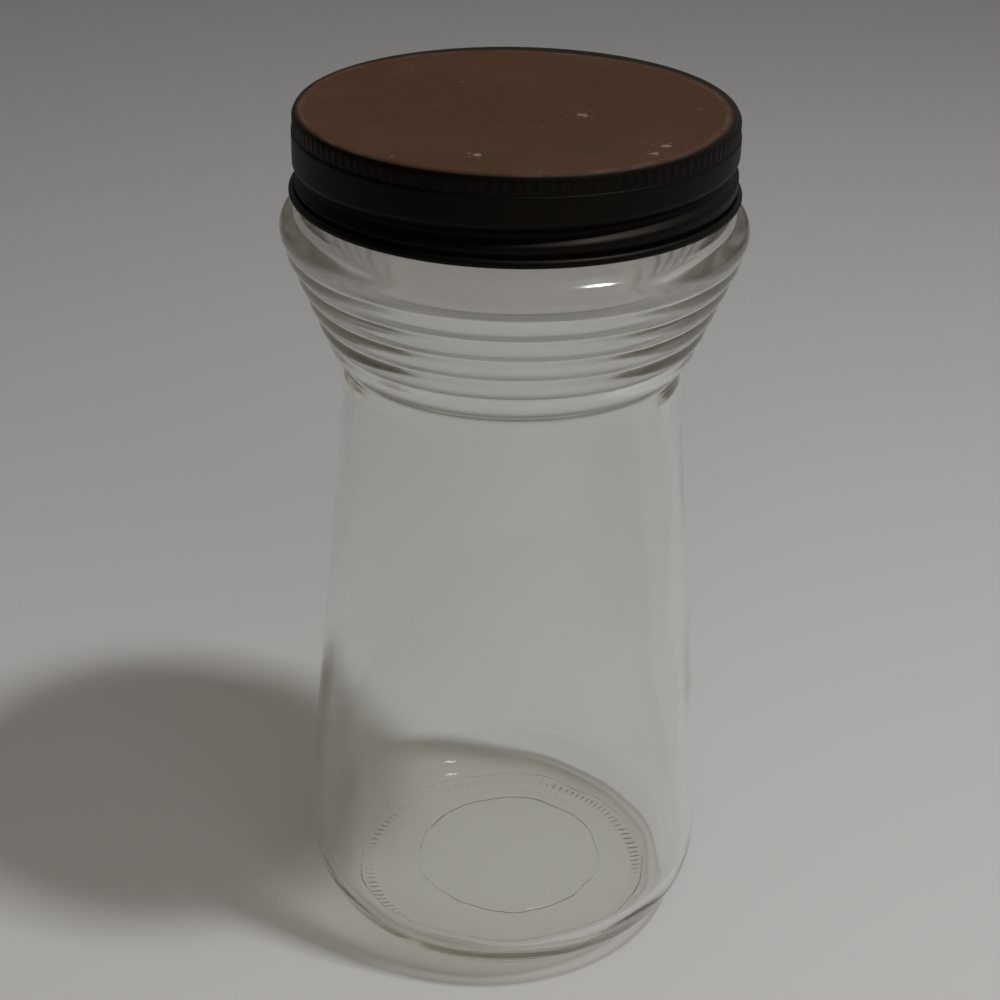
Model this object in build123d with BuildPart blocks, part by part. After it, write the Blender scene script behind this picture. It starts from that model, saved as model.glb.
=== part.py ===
from build123d import *
import math
import os

# Spice jar: a clear pressed-and-blown glass jar with a narrow waist under five moulded
# rings, closed by a threaded tinplate cap with a paperboard liner. Millimetres, +Z up,
# origin at the centre of the face the jar stands on.

# Driving dimensions
total_height = 135.4
cap_radius = 32.0
belly_radius = 32.2
bulge_radius = 34.2
waist_radius = 25.37
wall = 2.1
tinplate = 0.3
liner_stack = 1.1

# Rim and neck of the glass, a named clearance inside the cap
rim_top = total_height - tinplate - liner_stack
neck_clearance = 2.1
neck_radius = cap_radius - neck_clearance
neck_wall = 2.6
bore_radius = neck_radius - neck_wall
rim_rounding = 0.6

# Foot: heel, bearing ring and pushed-up bottom
heel_radius = 12.0
heel_sweep = 71.5
heel_bands = 3
heel_axis_radius = belly_radius - heel_radius
heel_centre_height = heel_radius * math.sin(math.radians(heel_sweep))
foot_radius = heel_axis_radius + heel_radius * math.cos(math.radians(heel_sweep))
bearing_width = 3.5
bearing_inner_radius = foot_radius - bearing_width
push_up_height = 1.0
push_up_run = 4.8
mould_ring_radius = bearing_inner_radius - push_up_run
stipple_count = 120
stipple_width = 0.6
stipple_depth = 0.25
stipple_margin = 1.2
stipple_inner_radius = bearing_inner_radius + stipple_margin
stipple_length = 2.0

# Body side: a slim cone on a rounded belly, up to the waist
belly_start_height = heel_centre_height
belly_curve_radius = 233.0
belly_bands = 1
taper_angle = 5.46
waist_drop = 39.5
waist_height = rim_top - waist_drop
waist_band_run = 0.13
waist_band_height = 3.15
waist_top = (waist_radius + waist_band_run, waist_height + waist_band_height)

# Moulded rings between a lip over the waist and the bulge
ring_count = 5
ring_pitch = 3.5
ring_lip_run = 0.83
ring_lip_radius = waist_radius + ring_lip_run
ring_top_inset = 0.85
ring_top_radius = bulge_radius - ring_top_inset
ring_top_drop = 18.1
ring_top_height = rim_top - ring_top_drop
ring_lip_height = ring_top_height - ring_count * ring_pitch
ring_crown = 0.55
ring_crown_share = 0.4

# Bulge over the rings and the shoulder that runs in under the cap
bulge_curve_radius = 3.1
bulge_centre_drop = 16.0
bulge_centre_height = rim_top - bulge_centre_drop
bulge_start_angle = -38.0
bulge_sweep = 92.0
bulge_bands = 3
shoulder_head_step = 0.65
shoulder_head_drop = 11.9
shoulder_head = (neck_radius + shoulder_head_step, rim_top - shoulder_head_drop)
neck_foot_drop = 11.35
neck_foot_height = rim_top - neck_foot_drop

# Inside of the glass, with a thicker wall behind the rings and the bulge
floor_height = 2.9
inner_heel_bands = 2
ring_wall = 2.4
bulge_wall = 3.25
inner_waist_radius = waist_radius - wall
inner_waist_drop = 0.6
inner_waist_height = waist_height - inner_waist_drop
inner_lip_radius = ring_lip_radius - ring_wall
inner_lip_rise = 0.5
inner_lip_height = ring_lip_height + inner_lip_rise
inner_bulge_radius = bulge_radius - bulge_wall
inner_bulge_rise = 0.5
inner_bulge_height = bulge_centre_height + inner_bulge_rise
inner_bulge_foot_run = 0.45
inner_bulge_foot_drop = 3.0
inner_bulge_head_run = 0.95
inner_bulge_head_rise = 2.5
inner_neck_drop = 9.1
inner_neck_height = rim_top - inner_neck_drop

# Thread shared by glass and cap: right-hand, one start
pitch = 4.233
full_turn = 360.0
front = 270.0
cap_groove_front_drop = 8.7
thread_spacing = 1.75
section_step = 12.0

# Glass ridge
ridge_height = 1.2
ridge_root_half = 1.2
ridge_flank_half = 0.72
ridge_crest_half = 0.3
ridge_rounding = 0.3
ridge_least_rounding = 0.04
ridge_sink = 0.3
ridge_start = 120.0
ridge_end = 512.0
ridge_fade = 30.0

# Cap shell
cap_drop = 12.65
shoulder_radius = 1.1
shoulder_bands = 2
knurl_count = 132
knurl_depth = 0.25
knurl_top_drop = 1.1
knurl_bottom_drop = 2.9
knurl_root_radius = cap_radius - knurl_depth
knurl_core_step = 0.08
knurl_core_radius = knurl_root_radius - knurl_core_step
knurl_inner_radius = knurl_root_radius - tinplate
knurl_overlap = 0.1
knurl_root_share = 0.4
knurl_crest_share = 0.7
inner_step = 0.12
band_start_drop = 3.4
skirt_step = 0.3
lower_skirt_radius = cap_radius - skirt_step
bead_end_drop = 10.75
crease_drop = 11.35
curl_radius = 0.63
curl_end_angle = 90.0
curl_seam_share = 0.8
curl_bands = 6
curl_centre_radius = lower_skirt_radius - tinplate + curl_radius
curl_height = total_height - cap_drop + curl_radius

# Groove rolled into the skirt, which makes the thread inside
groove_depth = 1.25
groove_half_above = 1.9
groove_half_below = 1.4
groove_clear = 0.05
groove_least = 0.02
groove_outside = 1.2
groove_start = 30.0
groove_full = 115.0
groove_taper = 350.0
groove_end = 388.0
inner_groove_widening = 0.16
groove_shares = [1, 0.64, 0.2, -0.2, -0.64, -1]

# Liner
facing_thickness = 0.2
liner_clearance = 1.05
liner_radius = knurl_inner_radius - liner_clearance


def section_plane(angle, height):
    """Upright plane through the axis: its x runs outward at the angle, its y runs up."""
    outward = (math.cos(math.radians(angle)), math.sin(math.radians(angle)), 0)
    across = (math.sin(math.radians(angle)), -math.cos(math.radians(angle)), 0)
    return Plane(origin=(0, 0, height), x_dir=outward, z_dir=across)


def arc_points(centre, radius, start, sweep, bands):
    """Points of an arc in the turning plane, one more than its conical bands."""
    points = []
    for number in range(bands + 1):
        angle = math.radians(start + sweep * number / bands)
        across = centre[0] + radius * math.cos(angle)
        points.append((across, centre[1] + radius * math.sin(angle)))
    return points


def ring_points():
    """Outline of the moulded rings: each one swells out over the line of its creases."""
    run = (ring_top_radius - ring_lip_radius) / ring_count
    chord = math.hypot(run, ring_pitch)
    points = [(ring_lip_radius, ring_lip_height)]
    for number in range(ring_count):
        across = ring_lip_radius + run * (number + ring_crown_share)
        height = ring_lip_height + ring_pitch * (number + ring_crown_share)
        points.append(
            (across + ring_crown * ring_pitch / chord, height - ring_crown * run / chord)
        )
        points.append(
            (ring_lip_radius + run * (number + 1), ring_lip_height + ring_pitch * (number + 1))
        )
    return points


def inner_upper_points():
    """Inside of the glass from the neck down past the bulge and the rings to the waist."""
    head_radius = min(neck_radius, inner_bulge_radius - inner_bulge_head_run)
    return [
        (bore_radius, inner_neck_height),
        (head_radius, inner_bulge_height + inner_bulge_head_rise),
        (inner_bulge_radius, inner_bulge_height),
        (inner_bulge_radius - inner_bulge_foot_run, inner_bulge_height - inner_bulge_foot_drop),
        (inner_lip_radius, inner_lip_height),
        (inner_waist_radius, inner_waist_height),
    ]


def smooth_share(value, low, high):
    """Share from 0 to 1 with a soft start and a soft end."""
    share = min(1, max(0, (value - low) / (high - low)))
    return share * share * (3 - 2 * share)


def groove_height(angle):
    """Height of the deepest line of the cap's groove."""
    return total_height - cap_groove_front_drop + pitch * (angle - front) / full_turn


def ridge_height_at(angle):
    """Height of the crest of the glass thread, one spacing above the groove."""
    return groove_height(angle) + thread_spacing


def groove_share(angle):
    """Share of the full groove depth at an angle along the helix."""
    rise = smooth_share(angle, groove_start, groove_full)
    fall = 1 - smooth_share(angle, groove_taper, groove_end)
    return rise * fall


def groove_bottom(angle):
    """Depth of the groove's section below its lip, which stands clear of the skirt."""
    swell = groove_depth + groove_clear - groove_least
    return groove_least + swell * groove_share(angle)


def angles_between(first, last):
    """Evenly spaced section angles along a helix."""
    steps = math.ceil((last - first) / section_step)
    return [first + (last - first) * number / steps for number in range(steps + 1)]


def groove_outline(lip, depth, widening):
    """Section of the groove: a cosine-shaped bottom, closed by a flat side outside."""
    above = groove_half_above + widening
    below = groove_half_below + widening
    points = [(lip + groove_outside, -below), (lip + groove_outside, above)]
    for share in groove_shares:
        reach = share * (above if share > 0 else below)
        points.append((lip - depth * math.cos(math.pi * share / 2) ** 2, reach))
    return points


def knurl_outline():
    """Points of the ribbed outline: sharp ribs with flat roots between them."""
    root_start = (knurl_root_radius, 0)
    root_end = (knurl_root_radius, knurl_root_share)
    crest = (cap_radius, knurl_crest_share)
    points = []
    for number in range(knurl_count):
        for radius, share in (root_start, root_end, crest):
            angle = math.radians(full_turn * (number + share) / knurl_count)
            points.append((radius * math.cos(angle), radius * math.sin(angle)))
    return points


def glass_outline():
    """Half section of the glass: foot, outside up to the rim, then down the inside."""
    curve_axis = belly_radius - belly_curve_radius
    inner_heel_radius = belly_start_height - floor_height
    inner_foot = belly_radius - wall - inner_heel_radius
    bulge_axis = bulge_radius - bulge_curve_radius
    outer_belly = arc_points(
        (curve_axis, belly_start_height), belly_curve_radius, 0, taper_angle, belly_bands
    )
    inner_belly = arc_points(
        (curve_axis, belly_start_height), belly_curve_radius - wall, 0, taper_angle, belly_bands
    )
    return [
        (0, push_up_height),
        (mould_ring_radius, push_up_height),
        (bearing_inner_radius, 0),
        *arc_points(
            (heel_axis_radius, heel_centre_height), heel_radius, -heel_sweep, heel_sweep, heel_bands
        ),
        *outer_belly,
        (waist_radius, waist_height),
        waist_top,
        *ring_points(),
        *arc_points(
            (bulge_axis, bulge_centre_height),
            bulge_curve_radius,
            bulge_start_angle,
            bulge_sweep,
            bulge_bands,
        ),
        shoulder_head,
        (neck_radius, neck_foot_height),
        (neck_radius, rim_top - rim_rounding),
        (neck_radius - rim_rounding, rim_top),
        (bore_radius + rim_rounding, rim_top),
        (bore_radius, rim_top - rim_rounding),
        *inner_upper_points(),
        *reversed(inner_belly),
        *arc_points(
            (inner_foot, floor_height + inner_heel_radius),
            inner_heel_radius,
            0,
            -90,
            inner_heel_bands,
        ),
        (0, floor_height),
    ]


# Glass thread: a rounded ridge that climbs the neck once and a little more
with BuildPart() as glass_ridge:
    for angle in angles_between(ridge_start, ridge_end):
        share = smooth_share(angle, ridge_start, ridge_start + ridge_fade)
        share = share * (1 - smooth_share(angle, ridge_end - ridge_fade, ridge_end))
        root = neck_radius - ridge_sink
        crest = neck_radius - ridge_sink / 2 + (ridge_height + ridge_sink / 2) * share
        flank = crest - ridge_least_rounding - (ridge_rounding - ridge_least_rounding) * share
        with BuildSketch(section_plane(angle, ridge_height_at(angle))):
            with BuildLine():
                Polyline(
                    (root, ridge_root_half),
                    (flank, ridge_flank_half),
                    (crest, ridge_crest_half),
                    (crest, -ridge_crest_half),
                    (flank, -ridge_flank_half),
                    (root, -ridge_root_half),
                    close=True,
                )
            make_face()
    loft()

# Glass jar: turned body with an open mouth
with BuildPart() as jar_glass:
    with BuildSketch(Plane.XZ):
        with BuildLine():
            Polyline(*glass_outline(), close=True)
        make_face()
    revolve(axis=Axis.Z)

    # Stippling: short radial notches that keep the hot foot off the conveyor
    with BuildSketch(Plane.YZ.offset(stipple_inner_radius)):
        with BuildLine():
            Polyline(
                (-stipple_width / 2, 0),
                (0, stipple_depth),
                (stipple_width / 2, 0),
                (0, -stipple_depth),
                close=True,
            )
        make_face()
    notch = extrude(amount=stipple_length, mode=Mode.PRIVATE)
    with PolarLocations(0, stipple_count):
        add(notch, mode=Mode.SUBTRACT)

    add(glass_ridge.part)

# Tool outside the skirt: the space of the rolled groove
with BuildPart() as groove_space:
    for angle in angles_between(groove_start, groove_end):
        lip = cap_radius + groove_clear
        depth = groove_bottom(angle)
        with BuildSketch(section_plane(angle, groove_height(angle))):
            with BuildLine():
                Polyline(*groove_outline(lip, depth, 0), close=True)
            make_face()
    loft()

# The same groove one sheet thickness further in: the ridge inside the cap
with BuildPart() as inner_ridge:
    for angle in angles_between(groove_start, groove_end):
        lip = cap_radius - tinplate + groove_clear
        depth = groove_bottom(angle)
        with BuildSketch(section_plane(angle, groove_height(angle))):
            with BuildLine():
                Polyline(*groove_outline(lip, depth, inner_groove_widening), close=True)
            make_face()
    loft()

# Space inside the cap, left open at the bottom
with BuildPart() as cap_space:
    with BuildSketch(Plane.XZ):
        with BuildLine():
            Polyline(
                (0, total_height - tinplate),
                (0, curl_height),
                (lower_skirt_radius - tinplate, curl_height),
                (lower_skirt_radius - tinplate, total_height - crease_drop + inner_step),
                (cap_radius - tinplate, total_height - bead_end_drop + inner_step),
                (cap_radius - tinplate, total_height - band_start_drop - inner_step),
                (knurl_inner_radius, total_height - knurl_bottom_drop - inner_step),
                (knurl_inner_radius, total_height - shoulder_radius),
                (knurl_root_radius - shoulder_radius, total_height - tinplate),
                close=True,
            )
        make_face()
    revolve(axis=Axis.Z)
    add(inner_ridge.part, mode=Mode.SUBTRACT)

# Ribbed grip band
with BuildPart() as knurl_band:
    with BuildSketch(Plane.XY.offset(total_height - knurl_bottom_drop)):
        with BuildLine():
            Polyline(*knurl_outline(), close=True)
        make_face()
        Circle(knurl_inner_radius + knurl_overlap, mode=Mode.SUBTRACT)
    extrude(amount=knurl_bottom_drop - knurl_top_drop)

# Cap shell: pressed disc, ribbed band, threaded skirt and the curled edge
with BuildPart() as lid_shell:
    with BuildSketch(Plane.XZ):
        with BuildLine():
            Polyline(
                (0, total_height),
                (0, curl_height),
                (lower_skirt_radius, curl_height),
                (lower_skirt_radius, total_height - crease_drop),
                (cap_radius, total_height - bead_end_drop),
                (cap_radius, total_height - band_start_drop),
                (knurl_core_radius, total_height - knurl_bottom_drop),
                *arc_points(
                    (knurl_core_radius - shoulder_radius, total_height - shoulder_radius),
                    shoulder_radius,
                    0,
                    90,
                    shoulder_bands,
                ),
                close=True,
            )
        make_face()
    revolve(axis=Axis.Z)
    add(groove_space.part, mode=Mode.SUBTRACT)
    add(cap_space.part, mode=Mode.SUBTRACT)
    add(knurl_band.part)
    with BuildSketch(Plane.XZ):
        with BuildLine():
            Polyline(
                *arc_points(
                    (curl_centre_radius, curl_height),
                    curl_radius,
                    180,
                    180 + curl_end_angle,
                    curl_bands,
                ),
                (lower_skirt_radius, curl_height + curl_radius * curl_seam_share),
                (lower_skirt_radius, curl_height),
                close=True,
            )
        make_face()
    revolve(axis=Axis.Z)

# Liner: a paperboard disc with a coated facing that seals on the glass
with BuildPart() as liner_facing:
    with BuildSketch(Plane.XY.offset(rim_top)):
        Circle(liner_radius)
    extrude(amount=facing_thickness)

with BuildPart() as liner_board:
    with BuildSketch(Plane.XY.offset(rim_top + facing_thickness)):
        Circle(liner_radius)
    extrude(amount=liner_stack - facing_thickness)

jar_glass.part.label = "jar_glass"
lid_shell.part.label = "lid_shell"
liner_facing.part.label = "liner_facing"
liner_board.part.label = "liner_board"

os.makedirs("parts", exist_ok=True)
export_step(jar_glass.part, "parts/jar_glass.step")
export_step(lid_shell.part, "parts/lid_shell.step")
export_step(liner_facing.part, "parts/liner_facing.step")
export_step(liner_board.part, "parts/liner_board.step")
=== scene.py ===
import math

import bpy
import numpy as np
from mathutils import Matrix, Vector


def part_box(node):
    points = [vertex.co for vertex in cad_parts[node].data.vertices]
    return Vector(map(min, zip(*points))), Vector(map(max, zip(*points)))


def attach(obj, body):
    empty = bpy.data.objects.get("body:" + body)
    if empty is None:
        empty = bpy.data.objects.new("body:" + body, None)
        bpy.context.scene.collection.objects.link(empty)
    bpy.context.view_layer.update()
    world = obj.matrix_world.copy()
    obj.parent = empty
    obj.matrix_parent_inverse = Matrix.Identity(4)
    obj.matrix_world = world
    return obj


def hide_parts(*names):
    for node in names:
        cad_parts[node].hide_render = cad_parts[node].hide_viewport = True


# Spice jar: clear glass under a dark lacquered screw cap. Metres, in the frame of the packed
# model; lengths are written in millimetres times mm.

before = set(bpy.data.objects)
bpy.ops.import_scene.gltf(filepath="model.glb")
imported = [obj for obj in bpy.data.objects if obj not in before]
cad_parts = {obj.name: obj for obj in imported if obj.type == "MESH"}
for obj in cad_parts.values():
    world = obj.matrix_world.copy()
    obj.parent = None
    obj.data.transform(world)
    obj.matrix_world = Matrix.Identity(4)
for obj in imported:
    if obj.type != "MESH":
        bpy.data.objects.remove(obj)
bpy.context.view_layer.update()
mm = 0.001

# Sizes read from the frame
glass_low, glass_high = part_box("jar_glass")
lid_low, lid_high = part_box("lid_shell")
rim_top = glass_high.z
total_height = lid_high.z

# Glass, outside
cap_radius = 32 * mm
neck_radius = cap_radius - 2.1 * mm
bore_radius = neck_radius - 2.6 * mm
belly_radius = 32.2 * mm
bulge_radius = 34.17 * mm
waist_radius = 25.37 * mm
wall = 2.1 * mm
rim_rounding = 0.9 * mm
heel_radius = 12 * mm
heel_sweep = 71.5
heel_axis_radius = belly_radius - heel_radius
heel_centre_height = heel_radius * math.sin(math.radians(heel_sweep))
foot_radius = heel_axis_radius + heel_radius * math.cos(math.radians(heel_sweep))
bearing_inner_radius = foot_radius - 3.5 * mm
push_up_height = 1.0 * mm
mould_ring_radius = bearing_inner_radius - 4.8 * mm
mould_line_height = 0.2 * mm
mould_line_waver = 0.25 * mm
mould_line_middle = (0.9 * mm, 2 * mm)
seam_depth = 0.24 * mm
seam_half = 0.36 * mm
seam_radius = foot_radius + 0.8 * mm
seam_waver = 0.45 * mm
line_half = 0.24 * mm
line_waves = [(0.5, 4, 1), (0.3, 9, 2.2), (0.3, 17, 0)]
foot_zone_height = push_up_height * 1.3
foot_zone_radius = mould_ring_radius - 3 * mm
under_height = heel_radius / 4
belly_start_height = heel_centre_height
belly_curve_radius = 233 * mm
taper_angle = 5.46
waist_height = rim_top - 39.5 * mm
waist_top = (waist_radius + 0.13 * mm, waist_height + 3.15 * mm)
ring_count = 5
ring_pitch = 3.5 * mm
ring_lip_radius = waist_radius + 0.83 * mm
ring_top_radius = bulge_radius - 0.85 * mm
ring_top_height = rim_top - 18.1 * mm
ring_lip_height = ring_top_height - ring_count * ring_pitch
ring_crown = 0.55 * mm
bulge_curve_radius = 3.1 * mm
bulge_centre_height = rim_top - 16 * mm
bulge_start_angle = -38
bulge_end_angle = 54
shoulder_head = (neck_radius + 0.65 * mm, rim_top - 11.9 * mm)
neck_foot_height = rim_top - 11.35 * mm

# Glass, inside
floor_height = 2.9 * mm
floor_crown = 0.5 * mm
ring_wall = 2.4 * mm
bulge_wall = 3.25 * mm
inner_waist = (waist_radius - wall, waist_height - 0.6 * mm)
inner_lip = (ring_lip_radius - ring_wall, ring_lip_height + 0.5 * mm)
inner_bulge = (bulge_radius - bulge_wall, bulge_centre_height + 0.5 * mm)
inner_bulge_foot = (inner_bulge[0] - 0.45 * mm, inner_bulge[1] - 3 * mm)
inner_bulge_head = (inner_bulge[0] - 0.95 * mm, inner_bulge[1] + 2.5 * mm)
inner_neck_height = rim_top - 9.1 * mm
inner_wave = 0.1 * mm
heel_wave = 0.55 * mm
floor_wave = 0.3 * mm
wave_run = 60 * mm
wave_fade_height = rim_top * 0.85
wall_waves = [(0.3, 2, 3.1, 0.7), (0.25, 3, -5.3, 2.1), (0.25, 7, 8.7, 4), (0.2, 11, -12.1, 1.3)]

# Stipples under the foot
stipple_count = 120
stipple_depth = 0.25 * mm
stipple_inner_radius = bearing_inner_radius + 1.7 * mm
stipple_outer_radius = stipple_inner_radius + 2.1 * mm
stipple_fade = 0.3 * mm
stipple_level = 0.55
stipple_waves = [(0.25, 2, 0), (0.2, 7, 1)]

# Thread shared by glass and cap
pitch = 4.233 * mm
front = 270
groove_front_height = total_height - 8.7 * mm
thread_spacing = 1.75 * mm
ridge_height = 1.1 * mm
ridge_half = 1.15 * mm
ridge_start = 120
ridge_end = 512
ridge_fade = 30
ridge_sharpness = 1.3

# Cap
tinplate = 0.3 * mm
shoulder_radius = 1.1 * mm
knurl_count = 132
knurl_depth = 0.25 * mm
knurl_share = 0.4
knurl_top = total_height - 0.7 * mm
knurl_bottom = total_height - 2.9 * mm
knurl_fade = 0.35 * mm
knurl_root_share = 0.35
skirt_inner_radius = cap_radius - 3 * knurl_depth
skirt_outer_radius = cap_radius + tinplate / 3
band_start = total_height - 3.12 * mm
bead_end = total_height - 10.6 * mm
crease = total_height - 11.2 * mm
lower_skirt_radius = cap_radius - 0.3 * mm
curl_radius = 0.63 * mm
curl_centre = (
    lower_skirt_radius - tinplate + curl_radius,
    total_height - 12.65 * mm + curl_radius,
)
curl_tip_angle = 112
groove_depth = 1.25 * mm
groove_half_above = 1.9 * mm
groove_half_below = 1.4 * mm
groove_start = 30
groove_full = 115
groove_taper = 350
groove_end = 388
inner_groove_widening = 0.16 * mm
top_dish = 0.12 * mm
dish_radius = cap_radius * 0.88
dish_rim_radius = cap_radius * 0.93
faded_middle = (-0.4 * mm, -1.6 * mm, 0)
faded_radius = 30.5 * mm
faded_fringe = 0.4 * mm
faded_waver = 0.3 * mm
faded_low = total_height - 0.5 * mm
faded_high = total_height - 0.35 * mm
# A lighter colour laid in a broken ring near the edge of the top
edge_ring_radius = faded_radius - 0.5 * mm
edge_ring_half = 0.45 * mm
speck_places = [(-5, -23.5), (18.4, -21.7), (9.2, -4.7), (20, -18.2)]
speck_radius = 0.75 * mm

# Liner
liner_rounding = 0.08 * mm

# Meshing
outline_step = 0.1 * mm
arc_step = 2
pole_radius = outline_step / 10
sharp_angle = 30
softening = 0.28 * mm
inner_softening = 0.42 * mm
sheet_softening = 0.12 * mm
lip_softening = 0.6 * mm
lip_reach = 1.6 * mm
turn_limit = 4
longest_step = 3 * mm
thread_step = 0.2 * mm
skirt_step = 0.22 * mm
push_up_points = 25
ring_points = 16
glass_segments = stipple_count * 5
lid_segments = knurl_count * 8
liner_segments = 240

# Glass material
glass_color = (0.985, 0.99, 0.98, 1)
# Painted shade: the glass colour darkens over the shoulder, just under the cap
shoulder_painted_shade = (0.75, 0.72, 0.7, 1)
painted_shade_start = ring_top_height - 0.6 * mm
painted_shade_end = ring_top_height + 1.8 * mm
glass_refraction = 1.51
smear_scale = 38
smear_range = (0.45, 0.8)
smear_most = 0.07
pressed_start = ring_lip_height - mm
pressed_end = ring_lip_height + 4 * mm
pressed_roughness = 0.1
glass_wave_scale = 45
glass_wave_depth = 0.6 * mm
glass_wave_strength = 0.12
glass_tint = (0.77, 0.745, 0.64, 1)
glass_density = 14
passed_light = [
    (0, (0.975, 0.975, 0.965, 1)),
    (0.55, (0.94, 0.94, 0.925, 1)),
    (0.72, (0.85, 0.845, 0.82, 1)),
    (0.85, (0.48, 0.47, 0.44, 1)),
    (0.97, (0.05, 0.05, 0.045, 1)),
]

# Lacquer
cloud_scale = 70
blotch_scale = 26
grain_scale = 900
ring_break_scale = 230
speck_scale = 420
ragged_scale = 1500
top_facing_range = (0.6, 0.95)
top_colors = ((0.042, 0.0185, 0.0098, 1), (0.063, 0.0295, 0.0165, 1))
blotch_color = (0.045, 0.02, 0.0105, 1)
blotch_range = (0.4, 0.7)
blotch_share = 0.5
dust_color = (0.07, 0.036, 0.02, 1)
dust_range = (0.35, 0.75)
dust_share = 0.35
side_colors = ((0.0007, 0.0005, 0.0004, 1), (0.0015, 0.0011, 0.0008, 1))
edge_ring_color = (0.085, 0.058, 0.044, 1)
edge_ring_share = 0.75
ring_break_range = (0.42, 0.62)
ring_break_shares = (0.05, 1)
speck_color = (0.2, 0.155, 0.125, 1)
fine_speck_range = (0.72, 0.77)
fine_speck_share = 0.3
ragged_shares = (0.2, 1.6)
speck_share = 0.75
speck_core_share = 0.3
lacquer_shine = 0.13
lacquer_shine_tint = (1, 0.87, 0.68, 1)
top_roughness = (0.62, 0.8)
side_roughness = (0.43, 0.52)
grain_depth = 0.05 * mm
grain_strength = 0.25
blotch_depth = 0.15 * mm
blotch_strength = 0.3

# Liner materials
board_fibre_scale = 1400
board_cloud_scale = 60
board_cloud_range = (0.35, 0.7)
board_cloud_share = 0.5
board_colors = ((0.3, 0.245, 0.175, 1), (0.42, 0.36, 0.27, 1))
board_cloud_color = (0.33, 0.27, 0.19, 1)
board_roughness = (0.8, 0.95)
board_fibre_depth = 0.06 * mm
board_fibre_strength = 0.4
facing_cloud_scale = 90
facing_fibre_scale = 1100
facing_colors = ((0.6, 0.56, 0.47, 1), (0.7, 0.67, 0.58, 1))
facing_roughness = (0.35, 0.5)
facing_fibre_depth = 0.03 * mm
facing_fibre_strength = 0.2

# Range that the values of a noise texture mostly fill
noise_low = 0.3
noise_high = 0.7

# Camera that was fitted to the photograph's outline
camera_place = Vector((0, -267.9 * mm, 213.6 * mm))
camera_pitch = 27.893
camera_yaw = -0.313
camera_roll = 0.931
camera_lens = 69.49
sensor_width = 36
clip_start = 10 * mm
clip_end = 100

# Studio
key_direction = Vector((0.412, -0.15, 0.899))
key_distance = 0.7
key_size = 0.065
key_power = 2.85
key_color = (0.97, 0.995, 1.03)
fill_direction = Vector((0.22, -0.8, 0.55))
fill_distance = 0.6
fill_size = 0.45
fill_power = 1.7
fill_color = (1, 0.94, 0.87)
world_strength = 0.2
bright_side = (0.8, 0.6, 0)
room_ramp = [(0.1, (0.13, 0.122, 0.113, 1)), (0.8, (1.25, 1.18, 1.09, 1))]
glass_bounces = 64
floor_half = 6
floor_color = (0.5, 0.495, 0.485, 1)
floor_roughness = 0.9
floor_shine = 0.2


def arc(centre, radius, start, end):
    """Points of an arc in the turning plane, arc_step degrees apart."""
    count = max(2, round(abs(end - start) / arc_step))
    points = []
    for number in range(count + 1):
        angle = math.radians(start + (end - start) * number / count)
        points.append((centre[0] + radius * math.cos(angle), centre[1] + radius * math.sin(angle)))
    return points


def smooth_share(value, low, high):
    """Share from 0 to 1 with a soft start and a soft end, for numbers and arrays."""
    share = np.clip((value - low) / (high - low), 0, 1)
    return share * share * (3 - 2 * share)


def even_points(points, step):
    """The outline as an array of points at even steps along it."""
    line = np.array(points)
    run = np.concatenate([[0], np.cumsum(np.hypot(*np.diff(line, axis=0).T))])
    marks = np.linspace(0, run[-1], round(run[-1] / step) + 1)
    return np.column_stack([np.interp(marks, run, line[:, 0]), np.interp(marks, run, line[:, 1])])


def softened(points, radius):
    """The outline with its corners melted round, its two ends kept."""
    line = even_points(points, outline_step)
    reach = round(3 * radius / outline_step)
    weights = np.exp(-0.5 * (np.arange(-reach, reach + 1) * outline_step / radius) ** 2)
    weights /= weights.sum()
    padded = np.pad(line, ((reach, reach), (0, 0)), mode="reflect", reflect_type="odd")
    columns = [np.convolve(padded[:, axis], weights, mode="valid") for axis in (0, 1)]
    return np.column_stack(columns)


def sparse_rows(line, spacing):
    """Fewer points of a smooth outline: one for each few degrees that it turns, and never
    further apart than spacing(point) allows."""
    kept = [0]
    heading = None
    for number in range(1, len(line) - 1):
        step = line[number + 1] - line[number]
        angle = math.degrees(math.atan2(step[1], step[0]))
        if heading is None:
            heading = angle
        turned = abs((angle - heading + 180) % 360 - 180)
        apart = np.hypot(*(line[number] - line[kept[-1]]))
        if turned > turn_limit or apart > spacing(line[number]):
            kept.append(number)
            heading = angle
    kept.append(len(line) - 1)
    return line[kept]


def turned_object(name, across, height, angles):
    """Closed mesh of rings round the axis. Each row of across and height is one ring, and a
    first or last row on the axis becomes a single point."""
    rings, around = across.shape
    top_pole = across[0].max() < pole_radius
    end_pole = across[-1].max() < pole_radius
    first = 1 if top_pole else 0
    last = rings - 1 if end_pole else rings
    body = np.stack(
        [across * np.cos(angles), across * np.sin(angles), height], axis=-1
    )[first:last].reshape(-1, 3)
    points = body.tolist()
    count = last - first
    ring = np.arange(count - 1)[:, None] * around
    here = np.arange(around)[None, :]
    after = (np.arange(around) + 1)[None, :] % around
    quads = np.stack(
        [ring + here, ring + after, ring + around + after, ring + around + here], axis=-1
    )
    faces = quads.reshape(-1, 4).tolist()
    here, after = here[0].tolist(), after[0].tolist()
    if top_pole:
        points.append([0, 0, float(height[0].mean())])
        pole = len(points) - 1
        faces += [[pole, b, a] for a, b in zip(here, after)]
    if end_pole:
        points.append([0, 0, float(height[-1].mean())])
        pole = len(points) - 1
        base = (count - 1) * around
        faces += [[pole, base + a, base + b] for a, b in zip(here, after)]
    mesh = bpy.data.meshes.new(name)
    mesh.from_pydata(points, [], faces)
    mesh.validate()
    mesh.shade_smooth()
    piece = bpy.data.objects.new(name, mesh)
    bpy.context.scene.collection.objects.link(piece)
    return piece


def ring_angles(segments):
    """Angles of the points round a ring, in radians."""
    return np.arange(segments) * 2 * math.pi / segments


def groove_height(turn_angle):
    """Height of the deepest line of the cap's groove at an angle along the helix."""
    return groove_front_height + pitch * (turn_angle - front) / 360


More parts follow.
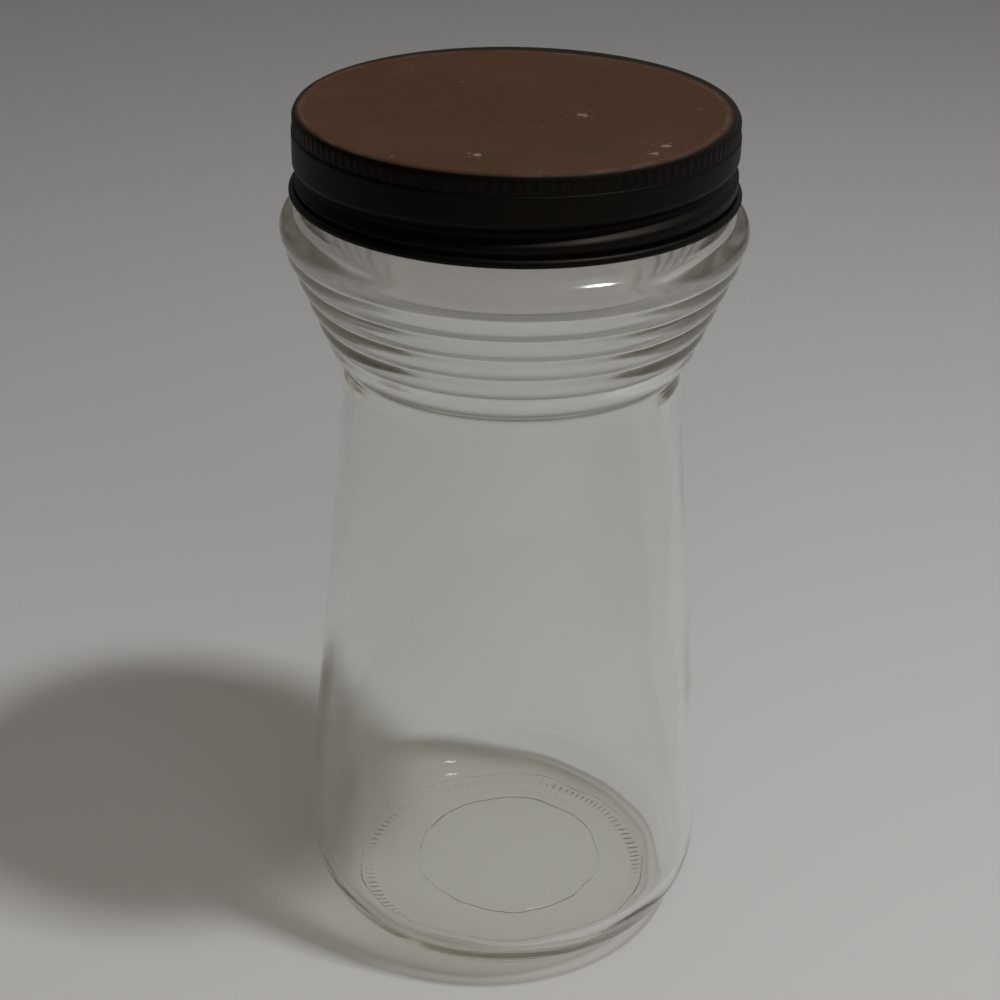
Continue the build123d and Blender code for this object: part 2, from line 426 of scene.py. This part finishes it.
def moulded_rings():
    """Outline of the five rings: a shallow arc over each pair of creases."""
    points = []
    run = (ring_top_radius - ring_lip_radius) / ring_count
    chord = math.hypot(run, ring_pitch)
    shares = np.arange(ring_points) / ring_points
    for number in range(ring_count):
        for share in shares:
            swell = ring_crown * (1 - (2 * share - 1) ** 2) / chord
            across = ring_lip_radius + run * (number + share) + swell * ring_pitch
            points.append((across, ring_lip_height + ring_pitch * (number + share) - swell * run))
    points.append((ring_top_radius, ring_top_height))
    return points


def push_up():
    """Outline under the foot: a shallow dome inside the ring that the jar stands on."""
    shares = np.linspace(0, 1, push_up_points)
    return [(bearing_inner_radius * share, push_up_height * (1 - share**2)) for share in shares]


def glass_outside():
    """Outline of the glass from the middle of its foot up to the rim."""
    curve_axis = belly_radius - belly_curve_radius
    rim_centre = rim_top - rim_rounding
    return [
        *push_up(),
        *arc((heel_axis_radius, heel_centre_height), heel_radius, -heel_sweep, 0),
        *arc((curve_axis, belly_start_height), belly_curve_radius, 0, taper_angle),
        (waist_radius, waist_height),
        waist_top,
        *moulded_rings(),
        *arc(
            (bulge_radius - bulge_curve_radius, bulge_centre_height),
            bulge_curve_radius,
            bulge_start_angle,
            bulge_end_angle,
        ),
        shoulder_head,
        (neck_radius, neck_foot_height),
        *arc((neck_radius - rim_rounding, rim_centre), rim_rounding, 0, 90),
    ]


def glass_inside():
    """Outline of the glass from the rim down to the middle of the floor."""
    curve_axis = belly_radius - belly_curve_radius
    heel = belly_start_height - floor_height
    heel_axis = belly_radius - wall - heel
    belly = arc((curve_axis, belly_start_height), belly_curve_radius - wall, taper_angle, 0)
    return [
        *arc((bore_radius + rim_rounding, rim_top - rim_rounding), rim_rounding, 90, 180),
        (bore_radius, inner_neck_height),
        inner_bulge_head,
        inner_bulge,
        inner_bulge_foot,
        inner_lip,
        inner_waist,
        *belly,
        *arc((heel_axis, floor_height + heel), heel, 0, -90),
        (heel_axis / 2, floor_height + floor_crown * 0.75),
        (0, floor_height + floor_crown),
    ]


def glass_spacing(point):
    """How far apart the rings of the glass may be: close at the thread and under the foot."""
    across, height = point
    if height > neck_foot_height and across > bore_radius + rim_rounding:
        return thread_step
    if height < foot_zone_height and across > foot_zone_radius:
        return line_half / 2
    return longest_step


def glass_ridge(angles, heights):
    """How far the thread on the neck stands out at each point."""
    stand = np.zeros(heights.shape)
    for turn in (0, 360):
        along = np.degrees(angles)[None, :] + turn
        share = smooth_share(along, ridge_start, ridge_start + ridge_fade)
        share = share * (1 - smooth_share(along, ridge_end - ridge_fade, ridge_end))
        share = share * ((along >= ridge_start) & (along <= ridge_end))
        offset = (heights - groove_height(along) - thread_spacing) / ridge_half
        bump = np.cos(np.clip(offset, -1, 1) * math.pi / 2) ** ridge_sharpness
        stand = np.maximum(stand, ridge_height * share * bump)
    return stand


def waviness(angles, heights):
    """Slow unevenness that blowing leaves in the inside of the glass, from -1 to 1."""
    along = heights / wave_run
    around = angles[None, :]
    waves = 0
    for strength, count, slant, start in wall_waves:
        waves = waves + strength * np.sin(count * around + slant * along + start)
    return waves


def sine_sum(parts, angles, level):
    """A level plus waves round the axis: each part is its strength, count and start."""
    for strength, count, start in parts:
        level = level + strength * np.sin(count * angles + start)
    return level


def thin_line(across, angles, radius, waver, half):
    """Strength of a thin wavering line round the foot at each point, from 0 to 1."""
    sway = sine_sum(line_waves, angles, 0)
    return np.clip(1 - np.abs(across - (radius + waver * sway)[None, :]) / half, 0, 1)


def make_glass():
    """The jar's body, turned from one closed outline, with thread, stipples and waves."""
    outside = softened(glass_outside(), softening)
    near_lip = np.exp(-(((outside[:, 1:] - ring_lip_height) / lip_reach) ** 2))
    outside += near_lip * (softened(glass_outside(), lip_softening) - outside)
    inside = softened(glass_inside(), inner_softening)
    line = np.concatenate([outside[:-1], inside])
    line = sparse_rows(line, glass_spacing)
    angles = ring_angles(glass_segments)
    across = np.repeat(line[:, :1], glass_segments, axis=1)
    height = np.repeat(line[:, 1:], glass_segments, axis=1)
    turn = np.argmax(line[:, 1])
    on_outside = (np.arange(len(line)) < turn)[:, None]
    neck = on_outside & (height > neck_foot_height) & (across > bore_radius)
    across = across + np.where(neck, glass_ridge(angles, height), 0)
    under = on_outside & (height < under_height)
    ring = line[:, :1]
    band = smooth_share(
        ring, stipple_inner_radius - stipple_fade, stipple_inner_radius + stipple_fade
    )
    band = band * (
        1 - smooth_share(ring, stipple_outer_radius - stipple_fade, stipple_outer_radius + stipple_fade)
    )
    notch = np.clip(np.cos(stipple_count * angles)[None, :], 0, 1)
    notch = notch * sine_sum(stipple_waves, angles, stipple_level)[None, :]
    height = height + np.where(under, stipple_depth * band * notch, 0)
    seam = seam_depth * thin_line(ring, angles, seam_radius, seam_waver, seam_half)
    aside, back = mould_line_middle
    mould_ring = mould_ring_radius + aside * np.cos(angles) + back * np.sin(angles)
    mould = mould_line_height * thin_line(ring, angles, mould_ring, mould_line_waver, line_half)
    height = height + np.where(under, seam - mould, 0)
    wave = waviness(angles, height)
    fade = np.clip(across / foot_radius, 0, 1)
    fade = fade * (1 - smooth_share(height, wave_fade_height, rim_top))
    low = 1 - smooth_share(height, floor_height, belly_start_height)
    swing = (inner_wave + heel_wave * low) * wave * fade
    across = across + np.where(on_outside, 0, swing)
    height = height + np.where(on_outside, 0, floor_wave * wave * low * fade)
    return turned_object("jar_glass_body", across, height, angles)


def lid_outside():
    """Outline of the cap from the middle of its top down to the curled edge."""
    knurl_root = cap_radius - knurl_depth
    inner_curl = curl_radius - tinplate
    return [
        (0, total_height - top_dish),
        (dish_radius, total_height - top_dish),
        (dish_rim_radius, total_height),
        *arc(
            (knurl_root - shoulder_radius, total_height - shoulder_radius),
            shoulder_radius,
            90,
            0,
        ),
        (knurl_root, knurl_bottom),
        (cap_radius, band_start),
        (cap_radius, bead_end),
        (lower_skirt_radius, crease),
        *arc(curl_centre, inner_curl, 180, 360 + curl_tip_angle),
    ]


def lid_inside():
    """Outline of the cap from the tip of its curl up the inside to the middle."""
    knurl_root = cap_radius - knurl_depth - tinplate
    ceiling = total_height - tinplate - top_dish
    return [
        *arc(curl_centre, curl_radius, curl_tip_angle, -180),
        (lower_skirt_radius - tinplate, crease),
        (cap_radius - tinplate, bead_end),
        (cap_radius - tinplate, band_start),
        (knurl_root, knurl_bottom),
        *arc(
            (knurl_root - shoulder_radius, ceiling - shoulder_radius), shoulder_radius, 0, 90
        ),
        (0, ceiling),
    ]


def lid_spacing(point):
    """How far apart the rings of the cap may be: close over the skirt."""
    across = point[0]
    return skirt_step if across > skirt_inner_radius else longest_step


def groove_press(angles, heights, widening):
    """How far the rolled groove presses the skirt in at each point."""
    press = np.zeros(heights.shape)
    for turn in (0, 360):
        along = np.degrees(angles)[None, :] + turn
        share = smooth_share(along, groove_start, groove_full)
        share = share * (1 - smooth_share(along, groove_taper, groove_end))
        offset = heights - groove_height(along)
        reach = np.where(offset > 0, groove_half_above, groove_half_below) + widening
        bump = np.cos(np.clip(offset / reach, -1, 1) * math.pi / 2) ** 2
        press = np.maximum(press, groove_depth * share * bump)
    return press


def rib_stand(angles, heights):
    """How far the grip's ribs stand out over their roots at each point."""
    band = smooth_share(heights, knurl_bottom, knurl_bottom + knurl_fade)
    band = band * (1 - smooth_share(heights, knurl_top - knurl_fade, knurl_top))
    rib = np.clip(np.cos(knurl_count * angles), -knurl_root_share, 1) + knurl_root_share
    return knurl_depth * knurl_share * band * (rib / (1 + knurl_root_share))[None, :]


def make_lid():
    """The cap's sheet: ribbed grip, rolled thread and hollow curl as one closed surface."""
    outside = sparse_rows(softened(lid_outside(), sheet_softening), lid_spacing)
    inside = sparse_rows(softened(lid_inside(), sheet_softening), lid_spacing)
    line = np.concatenate([outside, inside])
    angles = ring_angles(lid_segments)
    across = np.repeat(line[:, :1], lid_segments, axis=1)
    height = np.repeat(line[:, 1:], lid_segments, axis=1)
    outer = (np.arange(len(line)) < len(outside))[:, None]
    skirt = (across > skirt_inner_radius) & (across < skirt_outer_radius)
    curl_top = curl_centre[1] + curl_radius
    above_curl = smooth_share(height, curl_top, curl_top + 2 * curl_radius)
    pressed = groove_press(angles, height, np.where(outer, 0, inner_groove_widening))
    across = across + np.where(outer & skirt, rib_stand(angles, height), 0)
    across = across - np.where(skirt, pressed * above_curl, 0)
    return turned_object("lid_sheet", across[::-1], height[::-1], angles)


def make_disc(name, node):
    """A liner disc with softly cut edges, in the place of its node."""
    low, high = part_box(node)
    radius = high.x
    line = np.array(
        [
            (0, low.z),
            (radius / 2, low.z),
            (radius - liner_rounding, low.z),
            (radius, low.z + liner_rounding),
            (radius, high.z - liner_rounding),
            (radius - liner_rounding, high.z),
            (radius / 2, high.z),
            (0, high.z),
        ]
    )
    angles = ring_angles(liner_segments)
    across = np.repeat(line[:, :1], liner_segments, axis=1)
    height = np.repeat(line[:, 1:], liner_segments, axis=1)
    piece = turned_object(name, across, height, angles)
    piece.data.set_sharp_from_angle(angle=math.radians(sharp_angle))
    return piece


class Nodes:
    """Short hand for building a material's node tree."""

    def __init__(self, material):
        material.use_nodes = True
        self.tree = material.node_tree
        self.tree.nodes.clear()
        self.output = self.add("ShaderNodeOutputMaterial")

    def add(self, kind, **values):
        """A node with its properties set."""
        node = self.tree.nodes.new(kind)
        for name, value in values.items():
            setattr(node, name, value)
        return node

    def link(self, source, target):
        """Joins an output socket to an input socket."""
        self.tree.links.new(source, target)

    def coordinates(self):
        """The object's own coordinates, in metres."""
        return self.add("ShaderNodeTexCoord").outputs["Object"]

    def noise(self, scale, detail=4, roughness=0.55, stretch=(1, 1, 1), distortion=0):
        """The value of a noise texture over the object."""
        mapping = self.add("ShaderNodeMapping")
        mapping.inputs["Scale"].default_value = stretch
        self.link(self.coordinates(), mapping.inputs["Vector"])
        texture = self.add("ShaderNodeTexNoise")
        texture.inputs["Scale"].default_value = scale
        texture.inputs["Detail"].default_value = detail
        texture.inputs["Roughness"].default_value = roughness
        texture.inputs["Distortion"].default_value = distortion
        self.link(mapping.outputs["Vector"], texture.inputs["Vector"])
        return texture.outputs["Fac"]

    def ramp(self, value, stops):
        """A colour ramp over a value: stops are pairs of place and colour."""
        node = self.add("ShaderNodeValToRGB")
        elements = node.color_ramp.elements
        while len(elements) < len(stops):
            elements.new(0.5)
        for element, (place, color) in zip(elements, stops):
            element.position = place
            element.color = color
        self.link(value, node.inputs["Fac"])
        return node.outputs["Color"]

    def remap(self, value, low, high, new_low, new_high):
        """A value brought from one range to another, clamped."""
        node = self.add("ShaderNodeMapRange")
        node.inputs["From Min"].default_value = low
        node.inputs["From Max"].default_value = high
        node.inputs["To Min"].default_value = new_low
        node.inputs["To Max"].default_value = new_high
        self.link(value, node.inputs["Value"])
        return node.outputs["Result"]

    def two_tone(self, noise, colors):
        """A noise coloured from its low values to its high ones."""
        return self.ramp(noise, list(zip((noise_low, noise_high), colors)))

    def spread(self, noise, between):
        """A noise brought to lie between two values."""
        return self.remap(noise, noise_low, noise_high, *between)

    def mix(self, share, first, second):
        """A colour mixed from two, each a socket or a colour."""
        node = self.add("ShaderNodeMix", data_type="RGBA")
        for source, number in ((share, 0), (first, 6), (second, 7)):
            if isinstance(source, bpy.types.NodeSocket):
                self.link(source, node.inputs[number])
            else:
                node.inputs[number].default_value = source
        return node.outputs[2]

    def math(self, operation, first, second):
        """Two values brought together by an operation, each a socket or a number."""
        node = self.add("ShaderNodeMath", operation=operation)
        for source, number in ((first, 0), (second, 1)):
            if isinstance(source, bpy.types.NodeSocket):
                self.link(source, node.inputs[number])
            else:
                node.inputs[number].default_value = source
        return node.outputs[0]

    def bump(self, height, strength, distance, under=None):
        """A bumped normal, on top of another where one is given."""
        node = self.add("ShaderNodeBump")
        node.inputs["Strength"].default_value = strength
        node.inputs["Distance"].default_value = distance
        self.link(height, node.inputs["Height"])
        if under is not None:
            self.link(under, node.inputs["Normal"])
        return node.outputs["Normal"]

    def distance(self, place):
        """Distance from the upright line through a place."""
        mapping = self.add("ShaderNodeMapping", vector_type="TEXTURE")
        mapping.inputs["Location"].default_value = place
        self.link(self.coordinates(), mapping.inputs["Vector"])
        scale = self.add("ShaderNodeVectorMath", operation="MULTIPLY")
        scale.inputs[1].default_value = (1, 1, 0)
        self.link(mapping.outputs["Vector"], scale.inputs[0])
        length = self.add("ShaderNodeVectorMath", operation="LENGTH")
        self.link(scale.outputs["Vector"], length.inputs[0])
        return length.outputs["Value"]

    def height_share(self, low, high):
        """Share of the object above a height, from 0 at low to 1 at high, in metres."""
        parts = self.add("ShaderNodeSeparateXYZ")
        self.link(self.coordinates(), parts.inputs["Vector"])
        return self.remap(parts.outputs["Z"], low, high, 0, 1)

    def facing_up(self, low, high):
        """Share of a surface that faces up, from 0 at low to 1 at high."""
        geometry = self.add("ShaderNodeNewGeometry")
        parts = self.add("ShaderNodeSeparateXYZ")
        self.link(geometry.outputs["Normal"], parts.inputs["Vector"])
        return self.remap(parts.outputs["Z"], low, high, 0, 1)


def glass_material():
    """Clear glass, faintly grey at its edges, darkened on its shoulder by painted shade, with waves and
    smears.
    """
    material = bpy.data.materials.new("clear_glass")
    n = Nodes(material)
    shader = n.add("ShaderNodeBsdfPrincipled")
    # Painted shade: the base colour is darkened over the shoulder, under the cap
    shaded_share = n.height_share(painted_shade_start, painted_shade_end)
    n.link(n.mix(shaded_share, glass_color, shoulder_painted_shade), shader.inputs["Base Color"])
    shader.inputs["Transmission Weight"].default_value = 1
    shader.inputs["IOR"].default_value = glass_refraction
    smears = n.noise(smear_scale, detail=6, roughness=0.6, stretch=(1, 1, 0.35), distortion=0.6)
    smeared = n.remap(smears, *smear_range, 0, smear_most)
    pressed = n.math("MULTIPLY", n.height_share(pressed_start, pressed_end), pressed_roughness)
    n.link(n.math("ADD", smeared, pressed), shader.inputs["Roughness"])
    waves = n.noise(glass_wave_scale, detail=2, roughness=0.4, stretch=(1, 1, 0.4))
    n.link(n.bump(waves, glass_wave_strength, glass_wave_depth), shader.inputs["Normal"])
    clear = n.add("ShaderNodeBsdfTransparent")
    slant = n.add("ShaderNodeLayerWeight")
    n.link(n.ramp(slant.outputs["Facing"], passed_light), clear.inputs["Color"])
    rays = n.add("ShaderNodeLightPath")
    passing = n.math("MAXIMUM", rays.outputs["Is Shadow Ray"], rays.outputs["Is Diffuse Ray"])
    mix = n.add("ShaderNodeMixShader")
    n.link(passing, mix.inputs[0])
    n.link(shader.outputs["BSDF"], mix.inputs[1])
    n.link(clear.outputs["BSDF"], mix.inputs[2])
    n.link(mix.outputs["Shader"], n.output.inputs["Surface"])
    tint = n.add("ShaderNodeVolumeAbsorption")
    tint.inputs["Color"].default_value = glass_tint
    tint.inputs["Density"].default_value = glass_density
    n.link(tint.outputs["Volume"], n.output.inputs["Volume"])
    return material


def lacquer_material():
    """Aged dark brown lacquer: dusty and matt on top, satin on the skirt, with a lighter broken ring
    near the top's edge.
    """
    material = bpy.data.materials.new("cap_lacquer_aged")
    n = Nodes(material)
    shader = n.add("ShaderNodeBsdfPrincipled")
    n.link(shader.outputs["BSDF"], n.output.inputs["Surface"])
    cloud = n.noise(cloud_scale, detail=7, roughness=0.62)
    blotch = n.noise(blotch_scale, detail=3, roughness=0.5, distortion=0.8)
    grain = n.noise(grain_scale, detail=3, roughness=0.7)
    top_color = n.two_tone(cloud, top_colors)
    top_color = n.mix(n.remap(blotch, *blotch_range, 0, blotch_share), top_color, blotch_color)
    top_color = n.mix(n.remap(grain, *dust_range, 0, dust_share), top_color, dust_color)
    side_color = n.two_tone(cloud, side_colors)
    up = n.facing_up(*top_facing_range)
    up = n.math("MULTIPLY", up, n.height_share(faded_low, faded_high))
    apart = n.math("ADD", n.distance(faded_middle), n.spread(cloud, (-faded_waver, faded_waver)))
    up = n.math("MULTIPLY", up, n.remap(apart, faded_radius, faded_radius + faded_fringe, 1, 0))
    color = n.mix(up, side_color, top_color)
    # A lighter colour in a ring near the edge of the top, broken up by noise
    edge = n.math("SUBTRACT", apart, edge_ring_radius)
    edge = n.remap(n.math("ABSOLUTE", edge, 0), 0, edge_ring_half, edge_ring_share, 0)
    ring_breaks = n.noise(ring_break_scale, detail=4, roughness=0.7)
    edge = n.math("MULTIPLY", edge, n.remap(ring_breaks, *ring_break_range, *ring_break_shares))
    color = n.mix(n.math("MULTIPLY", edge, up), color, edge_ring_color)
    specks = n.noise(speck_scale, detail=2, roughness=0.6)
    spots = n.remap(specks, *fine_speck_range, 0, fine_speck_share)
    ragged = n.spread(n.noise(ragged_scale, detail=2), ragged_shares)
    core = speck_radius * speck_core_share
    for across, along in speck_places:
        apart = n.math("MULTIPLY", n.distance((across * mm, along * mm, 0)), ragged)
        spots = n.math("MAXIMUM", spots, n.remap(apart, core, speck_radius, speck_share, 0))
    color = n.mix(n.math("MULTIPLY", spots, up), color, speck_color)
    n.link(color, shader.inputs["Base Color"])
    shader.inputs["Specular IOR Level"].default_value = lacquer_shine
    shader.inputs["Specular Tint"].default_value = lacquer_shine_tint
    rough_top = n.spread(cloud, top_roughness)
    rough_side = n.spread(cloud, side_roughness)
    rough = n.add("ShaderNodeMix", data_type="FLOAT")
    n.link(up, rough.inputs[0])
    n.link(rough_side, rough.inputs[2])
    n.link(rough_top, rough.inputs[3])
    n.link(rough.outputs[0], shader.inputs["Roughness"])
    fine = n.bump(grain, grain_strength, grain_depth)
    n.link(n.bump(blotch, blotch_strength, blotch_depth, fine), shader.inputs["Normal"])
    return material


def board_material():
    """Grey-brown pulpboard with fibres."""
    material = bpy.data.materials.new("pulpboard")
    n = Nodes(material)
    shader = n.add("ShaderNodeBsdfPrincipled")
    n.link(shader.outputs["BSDF"], n.output.inputs["Surface"])
    fibres = n.noise(board_fibre_scale, detail=5, roughness=0.7, stretch=(1, 0.3, 1))
    cloud = n.noise(board_cloud_scale, detail=4)
    color = n.two_tone(fibres, board_colors)
    color = n.mix(n.remap(cloud, *board_cloud_range, 0, board_cloud_share), color, board_cloud_color)
    n.link(color, shader.inputs["Base Color"])
    n.link(n.spread(fibres, board_roughness), shader.inputs["Roughness"])
    n.link(n.bump(fibres, board_fibre_strength, board_fibre_depth), shader.inputs["Normal"])
    return material


def facing_material():
    """Off-white coated paper with fine fibres."""
    material = bpy.data.materials.new("coated_facing")
    n = Nodes(material)
    shader = n.add("ShaderNodeBsdfPrincipled")
    n.link(shader.outputs["BSDF"], n.output.inputs["Surface"])
    cloud = n.noise(facing_cloud_scale, detail=5)
    fibres = n.noise(facing_fibre_scale, detail=4, roughness=0.65)
    n.link(n.two_tone(cloud, facing_colors), shader.inputs["Base Color"])
    n.link(n.spread(cloud, facing_roughness), shader.inputs["Roughness"])
    n.link(n.bump(fibres, facing_fibre_strength, facing_fibre_depth), shader.inputs["Normal"])
    return material


def dress(piece, material, body, node):
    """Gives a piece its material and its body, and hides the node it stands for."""
    piece.data.materials.append(material)
    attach(piece, body)
    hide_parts(node)


def make_floor():
    """A wide pale floor."""
    mesh = bpy.data.meshes.new("floor")
    corners = [(-1, -1), (1, -1), (1, 1), (-1, 1)]
    mesh.from_pydata([(x * floor_half, y * floor_half, 0) for x, y in corners], [], [(0, 1, 2, 3)])
    floor = bpy.data.objects.new("floor", mesh)
    bpy.context.scene.collection.objects.link(floor)
    material = bpy.data.materials.new("floor_pale")
    n = Nodes(material)
    shader = n.add("ShaderNodeBsdfPrincipled")
    shader.inputs["Base Color"].default_value = floor_color
    shader.inputs["Roughness"].default_value = floor_roughness
    shader.inputs["Specular IOR Level"].default_value = floor_shine
    n.link(shader.outputs["BSDF"], n.output.inputs["Surface"])
    floor.data.materials.append(material)


def make_lamp(name, direction, distance, size, power, color, shines):
    """A square soft lamp that faces the middle of the jar, mirrored in its gloss if it shines."""
    data = bpy.data.lights.new(name, "AREA")
    data.size = size
    data.energy = power
    data.color = color
    lamp = bpy.data.objects.new(name, data)
    middle = Vector((0, 0, total_height / 2))
    toward = direction.normalized()
    lamp.location = middle + toward * distance
    lamp.rotation_mode = "QUATERNION"
    lamp.rotation_quaternion = (-toward).to_track_quat("-Z", "Y")
    lamp.visible_glossy = shines
    lamp.visible_transmission = shines
    bpy.context.scene.collection.objects.link(lamp)


def make_world():
    """A plain grey room, brighter at the right and behind the jar."""
    world = bpy.data.worlds.new("room")
    bpy.context.scene.world = world
    world.use_nodes = True
    tree = world.node_tree
    tree.nodes.clear()
    place = tree.nodes.new("ShaderNodeTexCoord")
    along = tree.nodes.new("ShaderNodeVectorMath")
    along.operation = "DOT_PRODUCT"
    along.inputs[1].default_value = bright_side
    ramp = tree.nodes.new("ShaderNodeValToRGB")
    for element, (place_share, color) in zip(ramp.color_ramp.elements, room_ramp):
        element.position = place_share
        element.color = color
    side = tree.nodes.new("ShaderNodeMapRange")
    side.inputs["From Min"].default_value = -1
    background = tree.nodes.new("ShaderNodeBackground")
    background.inputs["Strength"].default_value = world_strength
    output = tree.nodes.new("ShaderNodeOutputWorld")
    tree.links.new(place.outputs["Generated"], along.inputs[0])
    tree.links.new(along.outputs["Value"], side.inputs["Value"])
    tree.links.new(side.outputs["Result"], ramp.inputs["Fac"])
    tree.links.new(ramp.outputs["Color"], background.inputs["Color"])
    tree.links.new(background.outputs["Background"], output.inputs["Surface"])


def make_camera():
    """The camera that looks down on the jar as the photograph does."""
    pitch_angle = math.radians(camera_pitch)
    yaw_angle = math.radians(camera_yaw)
    roll_angle = math.radians(camera_roll)
    forward = Vector(
        (
            math.sin(yaw_angle) * math.cos(pitch_angle),
            math.cos(yaw_angle) * math.cos(pitch_angle),
            -math.sin(pitch_angle),
        )
    )
    right = forward.cross(Vector((0, 0, 1))).normalized()
    up = right.cross(forward)
    side = math.cos(roll_angle) * right + math.sin(roll_angle) * up
    head = math.cos(roll_angle) * up - math.sin(roll_angle) * right
    data = bpy.data.cameras.new("camera")
    data.lens = camera_lens
    data.sensor_width = sensor_width
    data.clip_start = clip_start
    data.clip_end = clip_end
    camera = bpy.data.objects.new("camera", data)
    turn = Matrix((side, head, -forward)).transposed().to_4x4()
    camera.matrix_world = Matrix.Translation(camera_place) @ turn
    bpy.context.scene.collection.objects.link(camera)
    bpy.context.scene.camera = camera


def set_view():
    """Plain colours, and light that may turn often enough inside the glass walls."""
    scene = bpy.context.scene
    scene.view_settings.view_transform = "Standard"
    scene.cycles.max_bounces = glass_bounces
    scene.cycles.glossy_bounces = glass_bounces
    scene.cycles.transmission_bounces = glass_bounces
    scene.cycles.transparent_max_bounces = glass_bounces


dress(make_glass(), glass_material(), "jar", "jar_glass")
dress(make_lid(), lacquer_material(), "lid", "lid_shell")
dress(
    make_disc("liner_board_disc", "liner_board"),
    board_material(),
    "liner",
    "liner_board",
)
dress(
    make_disc("liner_facing_disc", "liner_facing"),
    facing_material(),
    "liner",
    "liner_facing",
)
make_floor()
make_world()
make_lamp("key", key_direction, key_distance, key_size, key_power, key_color, True)
make_lamp("fill", fill_direction, fill_distance, fill_size, fill_power, fill_color, False)
make_camera()
set_view()
